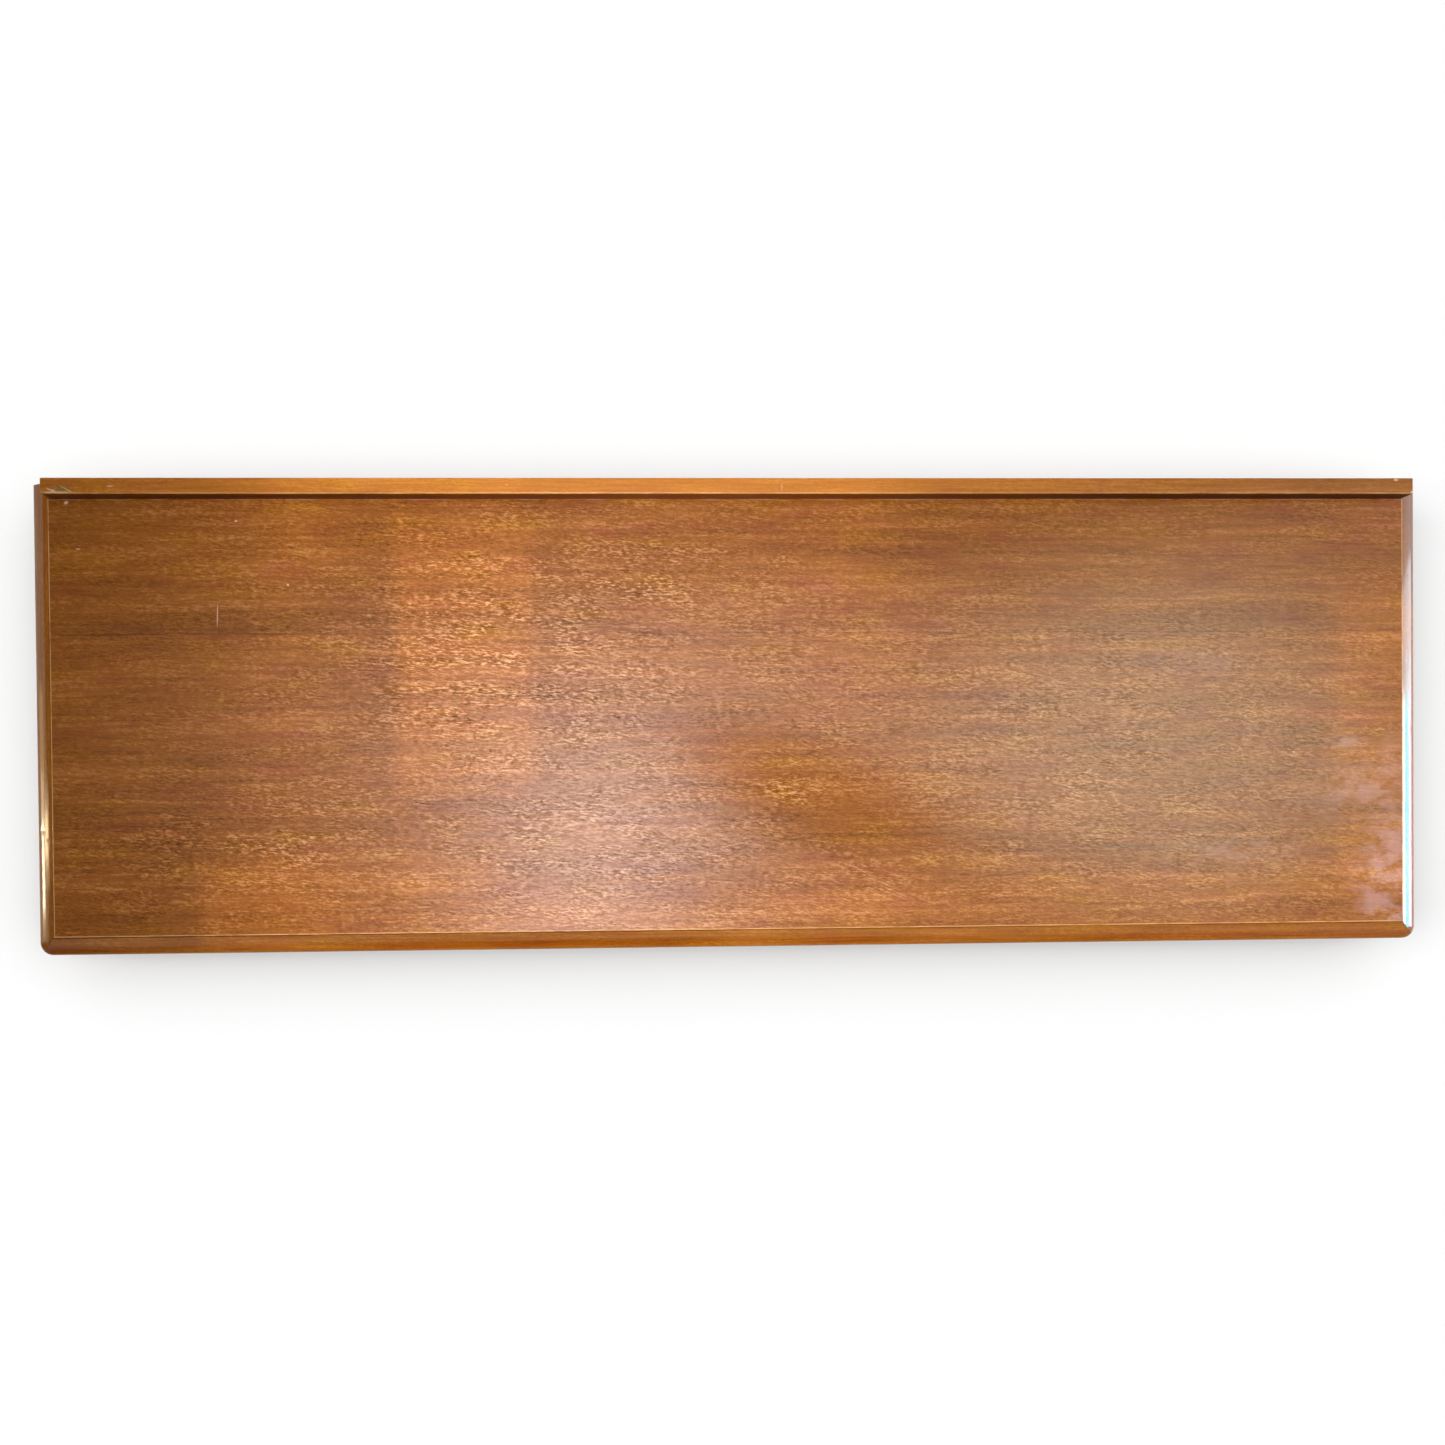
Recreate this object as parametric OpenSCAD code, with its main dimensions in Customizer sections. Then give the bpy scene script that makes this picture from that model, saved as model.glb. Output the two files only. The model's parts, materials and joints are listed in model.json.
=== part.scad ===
// Top board of a small bookcase or cabinet: a veneered blockboard panel with
// moulded hardwood edges on three sides, a raised rail along the back and two
// fixing cleats underneath. X runs along the board, Y towards the back rail,
// Z up. The origin is the centre of the footprint, level with the cleats' feet.

/* [Board] */
// Overall length of the board, side to side
board_w = 915; // [700:5:1200]
// Overall depth of the board, front to back
board_d = 305; // [220:5:400]
// Thickness of the strip core
core_t = 13; // [11:0.5:20]
// Thickness of each crossband
crossband_t = 2.2; // [1.5:0.1:3]
// Thickness of the face veneer and of the backing veneer
veneer_t = 0.8; // [0.6:0.1:1.5]
// Number of softwood strips in the core
strip_count = 11; // [8:1:14]

/* [Moulded edge] */
// Width of the solid lipping that the edge is moulded in
lip_w = 18; // [16:0.5:24]
// Width of the moulding, from the outer edge to the flat face
mould_w = 12; // [9:0.5:14]
// Depth of the step below the edge of the face veneer
step_h = 0.4; // [0.2:0.1:1]
// Drop of the curve, from the step to the outer edge
curve_drop = 4.6; // [4:0.1:6]
// Slope of the curve where it leaves the step, in degrees
curve_lead = 8; // [0:1:12]
// Radius of the outer arris
arris_r = 2; // [1:0.25:3]
// Radius of the front corners, seen from above
corner_r = 8.5; // [4:0.5:11]

/* [Tongues] */
// Thickness of the loose tongues
tongue_t = 4; // [3:0.5:5]
// Depth that a tongue reaches into each piece
tongue_in = 7; // [5:0.5:9]
// Glue gap at the bottom and the ends of each groove
tongue_gap = 0.5; // [0.2:0.1:1]

/* [Back rail] */
// Thickness of the raised back rail
rail_t = 10.5; // [9:0.5:14]
// Height of the back rail above the face
rail_h = 10; // [8:0.5:30]
// Gap between the moulding's inner line and each end of the rail
rail_end_gap = 0.5; // [0:0.25:20]
// Radius of the rail's top arrises
rail_arris_r = 1; // [0.5:0.25:2]

/* [Rail screws] */
// Number of screws that hold the rail
rail_screw_count = 5; // [3:1:7]
// Distance from each end of the rail to its end screw
rail_screw_end = 40; // [25:5:80]
// Depth that each screw bites into the rail
rail_screw_bite = 7; // [5:0.5:7.5]
// Shank diameter of the rail screws
rail_screw_d = 3.5; // [3:0.1:4]
// Head diameter of the rail screws
rail_head_d = 7; // [6:0.1:8]

/* [Cleats] */
// Width of each cleat
cleat_w = 22; // [18:1:30]
// Height of each cleat
cleat_h = 22; // [18:1:30]
// Distance from the end of the board to the outer face of the cleat
cleat_in = 27; // [24:1:45]
// Distance from the front and back of the board to the ends of the cleat
cleat_end_set = 32; // [25:1:45]
// Chamfer on the lower arrises of the cleats
cleat_chamfer = 1.5; // [0.5:0.5:3]
// Diameter of the sideways holes that take the carcass screws
fix_hole_d = 4.6; // [4:0.1:6]
// Distance from each end of the cleat to a sideways hole
fix_hole_end = 60; // [50:1:65]

/* [Cleat screws] */
// Number of screws in each cleat
cleat_screw_count = 3; // [3:2:5]
// Distance from each end of the cleat to its end screw
cleat_screw_end = 20; // [15:1:30]
// Depth that each screw bites into the board
cleat_screw_bite = 10; // [6:0.5:12]
// Shank diameter of the cleat screws
cleat_screw_d = 4.2; // [3.5:0.1:5]
// Head diameter of the cleat screws
cleat_head_d = 8.4; // [7:0.1:10]

/* [Screw details] */
// Depth that the heads are sunk below the wood
head_sink = 0.4; // [0.1:0.1:1]
// Width of the driver slot
slot_w = 1; // [0.8:0.1:1.4]
// Depth of the driver slot
slot_h = 1; // [0.8:0.1:1.4]
// Turn of the first screw's slot, in degrees
slot_turn = 25; // [0:5:90]
// Turn from one screw's slot to the next, in degrees
slot_turn_step = 40; // [0:5:90]
// Clearance around a shank in the piece that it passes through
shank_gap = 0.15; // [0.05:0.05:0.4]

/* [Hidden] */

$fn = 64;
cut = 1;                                       // how far a cutter runs past a face

// Levels, from the cleats' feet up
board_z = cleat_h;                             // underside of the board
lip_z = board_z + veneer_t;                    // underside of the lippings
lip_t = core_t + 2 * crossband_t;              // thickness of the lippings
core_z = lip_z + crossband_t;
face_z = lip_z + lip_t;                        // underside of the face veneer
board_t = lip_t + 2 * veneer_t;
top_z = board_z + board_t;

// The blockboard inside the lippings
core_w = board_w - 2 * lip_w;
core_d = board_d - 2 * lip_w;
strip_d = core_d / strip_count;

// The moulded curve, in the lipping's own section: x inwards, y up
curve_top = lip_t - step_h;
chord = norm([mould_w, curve_drop]);
chord_slope = atan2(curve_drop, mould_w);
curve_r = chord / (2 * sin(chord_slope - curve_lead));
curve_c = [mould_w + curve_r * sin(curve_lead), curve_top - curve_r * cos(curve_lead)];
arris_c = [arris_r, curve_c.y + sqrt(pow(curve_r - arris_r, 2) - pow(curve_c.x - arris_r, 2))];
arris_dir = (arris_c - curve_c) / (curve_r - arris_r);

// Tongues and their grooves
tongue_z = lip_z + (lip_t - tongue_t) / 2;
groove_in = tongue_in + tongue_gap;

// The rail and its screws
rail_w = board_w - 2 * (mould_w + rail_end_gap);
rail_y = board_d / 2 - rail_t / 2;
rail_screw_x = rail_w / 2 - rail_screw_end;
rail_screw_step = 2 * rail_screw_x / (rail_screw_count - 1);
rail_screw_len = board_t + rail_screw_bite - head_sink;

// The cleats and their screws
cleat_len = board_d - 2 * cleat_end_set;
cleat_x = board_w / 2 - cleat_in - cleat_w / 2;
cleat_screw_y = cleat_len / 2 - cleat_screw_end;
cleat_screw_step = 2 * cleat_screw_y / (cleat_screw_count - 1);
cleat_screw_len = cleat_h + cleat_screw_bite - head_sink;
fix_hole_y = cleat_len / 2 - fix_hole_end;

function head_h(d, head_d) = (head_d - d) / 2;  // a right-angled countersink
function tip_h(d) = 1.2 * d;
function tip_d(d) = d / 5;

// A box from its lowest corner to its highest corner
module span(low, high) {
    translate(low) cube(high - low);
}

// ---- Screws ----

// A countersunk wood screw without its slot, the head's face at z = 0, tip up
module screw_blank(d, head_d, len) {
    shank_end = len - tip_h(d);
    cylinder(d1 = head_d, d2 = d, h = head_h(d, head_d));
    translate([0, 0, head_h(d, head_d)]) cylinder(d = d, h = shank_end - head_h(d, head_d));
    translate([0, 0, shank_end]) cylinder(d1 = d, d2 = tip_d(d), h = tip_h(d));
}

// Slotted countersunk wood screw
module wood_screw(d, head_d, len, turn) {
    difference() {
        screw_blank(d, head_d, len);
        rotate(turn) translate([-head_d, -slot_w / 2, -cut]) cube([2 * head_d, slot_w, slot_h + cut]);
    }
}

// The hole that such a screw leaves: a sunk seat, a clearance hole as long as
// free_len, then a tight hole around the thread and tip
module screw_hole(d, head_d, len, free_len) {
    screw_blank(d, head_d, len);
    translate([0, 0, -head_sink - cut]) cylinder(d = head_d, h = head_sink + cut);
    cylinder(d = d + 2 * shank_gap, h = free_len - head_sink);
}

// Puts its children at each rail screw, the screw's number in $screw
module at_rail_screws() {
    for ($screw = [0:rail_screw_count - 1])
        translate([-rail_screw_x + $screw * rail_screw_step, rail_y, board_z + head_sink])
            children();
}

module rail_screw_holes() {
    at_rail_screws() screw_hole(rail_screw_d, rail_head_d, rail_screw_len, board_t);
}

// The same for one cleat; side is -1 at the left and 1 at the right
module at_cleat_screws(side) {
    for ($screw = [0:cleat_screw_count - 1])
        translate([side * cleat_x, -cleat_screw_y + $screw * cleat_screw_step, head_sink])
            children();
}

module cleat_screw_holes() {
    for (side = [-1, 1])
        at_cleat_screws(side)
            screw_hole(cleat_screw_d, cleat_head_d, cleat_screw_len, cleat_h);
}

// ---- Shapes shared by the edge pieces ----

// Outline of the board from above: square at the back, round at the front
module board_plan() {
    difference() {
        translate([-board_w / 2, -board_d / 2]) square([board_w, board_d]);
        for (side = [0, 1])
            mirror([side, 0])
                translate([-board_w / 2, -board_d / 2])
                    difference() {
                        translate([-cut, -cut]) square(corner_r + cut);
                        translate([corner_r, corner_r]) circle(corner_r);
                    }
    }
}

// Section of a moulded lipping, its outer face on the y axis
module moulded_section() {
    difference() {
        square([lip_w, lip_t]);
        // the convex curve, from the step to the outer face
        difference() {
            translate([-cut, curve_top - curve_drop - cut])
                square([mould_w + cut, curve_drop + step_h + 2 * cut]);
            translate(curve_c) circle(curve_r, $fn = 180);
        }
        // the rounded outer arris
        difference() {
            polygon([
                [-cut, arris_c.y],
                arris_c,
                arris_c + 2 * arris_r * arris_dir,
                [-cut, arris_c.y + 2 * arris_r * arris_dir.y]
            ]);
            translate(arris_c) circle(arris_r);
        }
    }
}

// Grooves for the front and back tongues
module long_groove(side) {
    translate([-core_w / 2, side * core_d / 2 - groove_in, tongue_z])
        cube([core_w, 2 * groove_in, tongue_t]);
}

// Grooves for the left and right tongues
module end_groove(side) {
    translate([side * core_w / 2 - groove_in, -core_d / 2 + groove_in, tongue_z])
        cube([2 * groove_in, core_d - 2 * groove_in, tongue_t]);
}

// Left moulding, mitred at the front and square at the back; the right one
// is its mirror image
module end_moulding() {
    difference() {
        intersection() {
            translate([-board_w / 2, board_d / 2, lip_z])
                rotate([90, 0, 0]) linear_extrude(board_d) moulded_section();
            translate([0, 0, lip_z - cut])
                linear_extrude(lip_t + 2 * cut)
                    polygon([
                        [-board_w / 2, -board_d / 2],
                        [-core_w / 2, -core_d / 2],
                        [-core_w / 2, board_d / 2],
                        [-board_w / 2, board_d / 2]
                    ]);
            translate([0, 0, lip_z - cut]) linear_extrude(lip_t + 2 * cut) board_plan();
        }
        end_groove(-1);
    }
}

// ---- Panel ----

module face_veneer() {
    color("peru")
        difference() {
            span([-board_w / 2 + mould_w, -board_d / 2 + mould_w, face_z],
                 [board_w / 2 - mould_w, board_d / 2, top_z]);
            rail_screw_holes();
        }
}

module crossband(z) {
    color("burlywood")
        difference() {
            span([-core_w / 2, -core_d / 2, z], [core_w / 2, core_d / 2, z + crossband_t]);
            cleat_screw_holes();
        }
}

module upper_crossband() {
    crossband(face_z - crossband_t);
}

module lower_crossband() {
    crossband(lip_z);
}

module core_strip(i) {
    y = -core_d / 2 + (i - 1) * strip_d;
    color(i % 2 == 0 ? "wheat" : "navajowhite")
        difference() {
            span([-core_w / 2, y, core_z], [core_w / 2, y + strip_d, core_z + core_t]);
            for (side = [-1, 1]) {
                long_groove(side);
                end_groove(side);
            }
            cleat_screw_holes();
        }
}

module backing_veneer() {
    color("sienna")
        difference() {
            translate([0, 0, board_z]) linear_extrude(veneer_t) board_plan();
            rail_screw_holes();
            cleat_screw_holes();
        }
}

// ---- Lippings and tongues ----

module front_moulding() {
    color("chocolate")
        difference() {
            intersection() {
                translate([-board_w / 2, -board_d / 2, lip_z])
                    rotate([90, 0, 90]) linear_extrude(board_w) moulded_section();
                translate([0, 0, lip_z - cut])
                    linear_extrude(lip_t + 2 * cut)
                        polygon([
                            [-board_w / 2, -board_d / 2],
                            [board_w / 2, -board_d / 2],
                            [core_w / 2, -core_d / 2],
                            [-core_w / 2, -core_d / 2]
                        ]);
                translate([0, 0, lip_z - cut]) linear_extrude(lip_t + 2 * cut) board_plan();
            }
            long_groove(-1);
        }
}

module left_moulding() {
    color("saddlebrown") end_moulding();
}

module right_moulding() {
    color("saddlebrown") mirror([1, 0, 0]) end_moulding();
}

module back_lipping() {
    color("chocolate")
        difference() {
            span([-core_w / 2, core_d / 2, lip_z], [core_w / 2, board_d / 2, face_z]);
            long_groove(1);
            rail_screw_holes();
        }
}

module long_tongue(side) {
    color("tan")
        translate([-core_w / 2 + tongue_gap, side * core_d / 2 - tongue_in, tongue_z])
            cube([core_w - 2 * tongue_gap, 2 * tongue_in, tongue_t]);
}

module end_tongue(side) {
    color("tan")
        translate([side * core_w / 2 - tongue_in, -core_d / 2 + groove_in + tongue_gap, tongue_z])
            cube([2 * tongue_in, core_d - 2 * (groove_in + tongue_gap), tongue_t]);
}

module front_tongue() {
    long_tongue(-1);
}

module back_tongue() {
    long_tongue(1);
}

module left_tongue() {
    end_tongue(-1);
}

module right_tongue() {
    end_tongue(1);
}

// ---- Back rail ----

module rail_section() {
    difference() {
        square([rail_t, rail_h]);
        for (side = [0, 1])
            translate([side * rail_t, rail_h])
                mirror([side, 0])
                    difference() {
                        translate([-cut, -rail_arris_r]) square(rail_arris_r + cut);
                        translate([rail_arris_r, -rail_arris_r]) circle(rail_arris_r);
                    }
    }
}

module back_rail() {
    color("sienna")
        difference() {
            translate([-rail_w / 2, board_d / 2 - rail_t, top_z])
                rotate([90, 0, 90]) linear_extrude(rail_w) rail_section();
            rail_screw_holes();
        }
}

module rail_screws() {
    color("darkgoldenrod")
        at_rail_screws()
            wood_screw(rail_screw_d, rail_head_d, rail_screw_len, slot_turn + slot_turn_step * $screw);
}

// ---- Cleats ----

module cleat_section() {
    polygon([
        [-cleat_w / 2, cleat_h],
        [-cleat_w / 2, cleat_chamfer],
        [-cleat_w / 2 + cleat_chamfer, 0],
        [cleat_w / 2 - cleat_chamfer, 0],
        [cleat_w / 2, cleat_chamfer],
        [cleat_w / 2, cleat_h]
    ]);
}

module cleat(side) {
    color("burlywood")
        difference() {
            translate([side * cleat_x, cleat_len / 2, 0])
                rotate([90, 0, 0]) linear_extrude(cleat_len) cleat_section();
            cleat_screw_holes();
            for (end = [-1, 1])
                translate([side * cleat_x - cleat_w / 2 - cut, end * fix_hole_y, cleat_h / 2])
                    rotate([0, 90, 0]) cylinder(d = fix_hole_d, h = cleat_w + 2 * cut);
        }
}

module left_cleat() {
    cleat(-1);
}

module right_cleat() {
    cleat(1);
}

module cleat_screws(side) {
    color("gray")
        at_cleat_screws(side)
            wood_screw(cleat_screw_d, cleat_head_d, cleat_screw_len, slot_turn + slot_turn_step * $screw);
}

module left_cleat_screws() {
    cleat_screws(-1);
}

module right_cleat_screws() {
    cleat_screws(1);
}

face_veneer();
upper_crossband();
lower_crossband();
backing_veneer();
for (i = [1:strip_count]) core_strip(i);
front_moulding();
left_moulding();
right_moulding();
back_lipping();
front_tongue();
back_tongue();
left_tongue();
right_tongue();
back_rail();
rail_screws();
left_cleat();
right_cleat();
left_cleat_screws();
right_cleat_screws();
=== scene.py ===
import json
import math
import random
import bpy
from mathutils import Matrix, Vector, noise

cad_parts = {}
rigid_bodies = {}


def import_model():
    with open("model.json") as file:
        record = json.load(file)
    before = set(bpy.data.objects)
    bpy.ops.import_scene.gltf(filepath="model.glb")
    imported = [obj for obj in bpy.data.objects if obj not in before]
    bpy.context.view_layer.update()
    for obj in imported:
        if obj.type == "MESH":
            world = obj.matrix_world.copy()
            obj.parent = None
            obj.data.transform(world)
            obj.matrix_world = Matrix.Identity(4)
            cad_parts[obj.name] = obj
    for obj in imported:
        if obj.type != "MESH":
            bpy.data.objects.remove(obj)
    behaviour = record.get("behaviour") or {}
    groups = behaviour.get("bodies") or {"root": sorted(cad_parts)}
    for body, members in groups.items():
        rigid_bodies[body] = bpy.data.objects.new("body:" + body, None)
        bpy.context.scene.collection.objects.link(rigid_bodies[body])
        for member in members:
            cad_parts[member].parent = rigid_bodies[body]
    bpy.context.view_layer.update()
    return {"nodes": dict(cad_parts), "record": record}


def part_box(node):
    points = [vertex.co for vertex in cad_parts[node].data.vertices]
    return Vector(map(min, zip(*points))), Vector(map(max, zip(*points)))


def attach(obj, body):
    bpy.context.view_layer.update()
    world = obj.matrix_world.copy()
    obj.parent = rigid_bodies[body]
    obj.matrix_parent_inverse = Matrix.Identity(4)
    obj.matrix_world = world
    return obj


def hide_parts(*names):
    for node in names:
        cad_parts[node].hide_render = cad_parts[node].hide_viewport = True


mm = 0.001


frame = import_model()
print("frame loaded:", len(frame["nodes"]), "nodes")

faceLow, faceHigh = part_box("face_veneer")
frontLow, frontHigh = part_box("front_moulding")
railLow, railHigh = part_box("back_rail")
backLow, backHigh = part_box("backing_veneer")
faceTop = faceHigh.z


def addNode(tree, kind, inputs=None, **settings):
    made = tree.nodes.new("ShaderNode" + kind)
    for key, value in settings.items():
        setattr(made, key, value)
    for key, value in (inputs or {}).items():
        if isinstance(value, bpy.types.NodeSocket):
            tree.links.new(value, made.inputs[key])
        else:
            made.inputs[key].default_value = value
    return made


def calc(tree, operation, first, second=0.0):
    return addNode(tree, "Math", {0: first, 1: second}, operation=operation).outputs[0]


def times(tree, first, second):
    return calc(tree, "MULTIPLY", first, second)


def minus(tree, first, second):
    return calc(tree, "SUBTRACT", first, second)


def gather(tree, first, *terms):
    # first plus each (value, amount)
    total = first
    for value, amount in terms:
        total = addNode(tree, "Math", {0: value, 1: amount, 2: total}, operation="MULTIPLY_ADD").outputs[0]
    return total


def ease(tree, value, start, end, low=0.0, high=1.0):
    # smooth step of value from start to end, mapped to low..high
    return addNode(tree, "MapRange", {0: value, 1: start, 2: end, 3: low, 4: high},
                   interpolation_type="SMOOTHSTEP").outputs[0]


def signed(tree, value, start, end):
    # -1 at start, +1 at end
    return ease(tree, value, start, end, -1.0, 1.0)


def between(tree, value, start, end, soft):
    # 1 inside start..end, fading to 0 over soft at both sides
    rising = ease(tree, value, start - soft, start + soft)
    falling = ease(tree, value, end - soft, end + soft, 1.0, 0.0)
    return times(tree, rising, falling)


def blend(tree, factor, first, second, kind="MIX"):
    # colour mix; a factor of 0 keeps the first colour
    return addNode(tree, "MixRGB", {0: factor, 1: first, 2: second}, blend_type=kind).outputs[0]


def colour(rgb):
    return (rgb[0], rgb[1], rgb[2], 1.0)


def scaled(tree, vector, size):
    # vector divided by a size in metres along each axis
    factors = tuple(1.0 / length for length in size)
    return addNode(tree, "VectorMath", {0: vector, 1: factors}, operation="MULTIPLY").outputs[0]


def cloud(tree, vector, size, detail=2.0, rough=0.5, seed=0.0):
    place = scaled(tree, vector, size)
    offset = (seed, seed * 0.7, seed * 0.3)
    moved = addNode(tree, "VectorMath", {0: place, 1: offset}, operation="ADD").outputs[0]
    inputs = {"Vector": moved, "Scale": 1.0, "Detail": detail, "Roughness": rough}
    return addNode(tree, "TexNoise", inputs).outputs[0]


def newMaterial(name):
    made = bpy.data.materials.new(name)
    made.use_nodes = True
    made.node_tree.nodes.clear()
    return made, made.node_tree


def finishMaterial(tree, shader):
    addNode(tree, "OutputMaterial", {"Surface": shader})


def meshObject(name, points, faces, material, smooth=True):
    mesh = bpy.data.meshes.new(name)
    mesh.from_pydata([tuple(p) for p in points], [], faces)
    mesh.validate()
    mesh.update()
    made = bpy.data.objects.new(name, mesh)
    bpy.context.scene.collection.objects.link(made)
    mesh.materials.append(material)
    if smooth:
        mesh.polygons.foreach_set("use_smooth", [True] * len(mesh.polygons))
        mesh.set_sharp_from_angle(angle=math.radians(35))
    return made


def softPatch(tree, overX, overY, spec):
    # 1 in the middle of a turned oval, fading smoothly outwards
    turn = math.radians(spec["turn"])
    dx = minus(tree, overX, spec["at"][0])
    dy = minus(tree, overY, spec["at"][1])
    u = gather(tree, times(tree, dx, math.cos(turn) / spec["reach"][0]),
               (dy, math.sin(turn) / spec["reach"][0]))
    v = gather(tree, times(tree, dy, math.cos(turn) / spec["reach"][1]),
               (dx, -math.sin(turn) / spec["reach"][1]))
    away = gather(tree, times(tree, u, u), (v, v))
    away = calc(tree, "POWER", away, spec.get("firm", 1.0))
    return calc(tree, "EXPONENT", times(tree, away, -1.0))


def softPatches(tree, parts, specs, base=0.0):
    total = base
    for spec in specs:
        total = gather(tree, total, (softPatch(tree, parts[0], parts[1], spec), spec["gain"]))
    return total


def marked(tree, parts, shade, specs, markColour):
    for spec in specs:
        mark = times(tree, softPatch(tree, parts[0], parts[1], spec), spec["gain"])
        shade = blend(tree, mark, shade, colour(markColour))
    return shade


def swayed(tree, turned, sway, swaySize, seed):
    wander = cloud(tree, turned, swaySize, 1.0, 0.5, seed)
    drift = times(tree, minus(tree, wander, 0.5), sway)
    offset = addNode(tree, "CombineXYZ", {0: 0.0, 1: drift, 2: drift}).outputs[0]
    return addNode(tree, "VectorMath", {0: turned, 1: offset}, operation="ADD").outputs[0]


def leaned(tree, place, lean):
    # leans the pattern across the grain: it drops by lean for each step along
    parts = addNode(tree, "SeparateXYZ", {0: place}).outputs
    dropped = gather(tree, parts[1], (parts[0], lean))
    return addNode(tree, "CombineXYZ", {0: parts[0], 1: dropped, 2: parts[2]}).outputs[0]


def grainPlace(tree, along, look):
    # object coordinates turned so that X runs along the grain, with a gentle sway across it
    place = addNode(tree, "TexCoord").outputs["Object"]
    parts = list(addNode(tree, "SeparateXYZ", {0: place}).outputs) + [place]
    order = (0, 1, 2) if along == "x" else (1, 0, 2)
    turned = addNode(tree, "CombineXYZ", {0: parts[order[0]], 1: parts[order[1]], 2: parts[2]}).outputs[0]
    return swayed(tree, turned, look["sway"], look["swaySize"], look["seed"]), turned, parts


def woodColours(tree, grain, look, fleckGlint=None, slanting=None):
    # broad figure, long streaks, then short pale and dark flecks that come and go in patches
    seed = look["seed"]
    figure = signed(tree, cloud(tree, grain, look["figureSize"], 4.0, 0.55, seed), 0.33, 0.67)
    band = signed(tree, cloud(tree, grain, look["bandSize"], 3.0, 0.6, seed + 5.3), 0.34, 0.66)
    streak = signed(tree, cloud(tree, grain, look["streakSize"], 3.0, 0.6, seed + 3.1), 0.30, 0.70)
    flecked = leaned(tree, grain, look["fleckLean"])
    flecked = swayed(tree, flecked, look["fleckSway"], look["fleckSwaySize"], seed + 2.0)
    fleck = cloud(tree, flecked, look["fleckSize"], 1.0, 0.6, seed + 7.7)
    fine = cloud(tree, flecked, look["fineSize"], 1.0, 0.5, seed + 1.3)
    fleckTone = signed(tree, fleck, 0.36, 0.66)
    fineTone = signed(tree, fine, 0.32, 0.68)
    drift = cloud(tree, grain, look["patchSize"], 2.0, 0.6, seed + 9.0)
    patch = ease(tree, drift, 0.36, 0.62, look["patchLow"], 1.0)
    # the fleck strength follows the given mask, which on the face carries painted glint
    if fleckGlint is not None:
        patch = times(tree, patch, fleckGlint)
    bright = times(tree, ease(tree, fleck, 0.56, 0.66), ease(tree, patch, 0.6, 1.3))
    # thin pale flecks that lie across the grain at a slant
    leaning = leaned(tree, grain, look["rayLean"])
    rays = ease(tree, cloud(tree, leaning, look["raySize"], 1.0, 0.5, seed + 4.0), 0.57, 0.68)
    rayPatch = ease(tree, cloud(tree, grain, look["rayPatchSize"], 1.0, 0.5, seed + 6.0), 0.44, 0.60)
    rays = times(tree, rays, rayPatch)
    if slanting is not None:
        rays = times(tree, rays, slanting)
    # short dark pores in drifts
    pores = ease(tree, cloud(tree, flecked, look["poreSize"], 1.0, 0.5, seed + 11.0), 0.60, 0.70)
    poreDrift = ease(tree, cloud(tree, grain, look["patchSize"], 2.0, 0.6, seed + 12.0), 0.42, 0.62)
    pores = times(tree, times(tree, pores, poreDrift), patch)
    detail = gather(tree, 0.0, (fleckTone, look["flecks"]), (fineTone, look["fines"]))
    detail = times(tree, detail, patch)
    detail = gather(tree, detail, (bright, look["sparks"]), (rays, look["rays"]), (pores, -look["pores"]))
    tone = gather(tree, look["tone"], (figure, look["figure"]), (band, look["bands"]),
                  (streak, look["streaks"]), (detail, 1.0))
    ramp = addNode(tree, "ValToRGB", {0: tone})
    stops = ramp.color_ramp.elements
    stops[0].position, stops[0].color = 0.0, colour(look["dark"])
    stops[1].position, stops[1].color = 1.0, colour(look["pale"])
    middle = stops.new(0.5)
    middle.color = colour(look["middle"])
    # redder and yellower drifts; the lively patches are the yellower ones
    hue = gather(tree, cloud(tree, grain, look["hueSize"], 3.0, 0.6, seed + 8.0),
                 (signed(tree, drift, 0.38, 0.62), look["hueDrift"]))
    red = ease(tree, hue, 0.46, 0.30, 0.0, look["hueShift"])
    shade = blend(tree, red, ramp.outputs[0], colour(look["redder"]), "MULTIPLY")
    yellow = ease(tree, hue, 0.54, 0.70, 0.0, look["hueShift"])
    shade = blend(tree, yellow, shade, colour(look["yellower"]), "MULTIPLY")
    height = gather(tree, 0.5, (fleckTone, 0.35), (fineTone, 0.2))
    return shade, height, detail


def relief(tree, height, depth):
    return addNode(tree, "Bump", {"Strength": 1.0, "Distance": depth, "Height": height}).outputs[0]


def lacquer(tree, shade, height, look, coat=None):
    bump = relief(tree, height, look["grainDepth"])
    filled = relief(tree, height, look["lacquerDepth"])
    shader = addNode(tree, "BsdfPrincipled", {
        "Base Color": shade, "Roughness": look["roughness"],
        "IOR": 1.5, "Specular IOR Level": look["underGloss"], "Normal": bump,
        "Coat Weight": look["coat"] if coat is None else coat, "Coat Roughness": look["coatRoughness"],
        "Coat IOR": look["coatIor"], "Coat Normal": filled})
    return shader.outputs[0]


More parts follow.
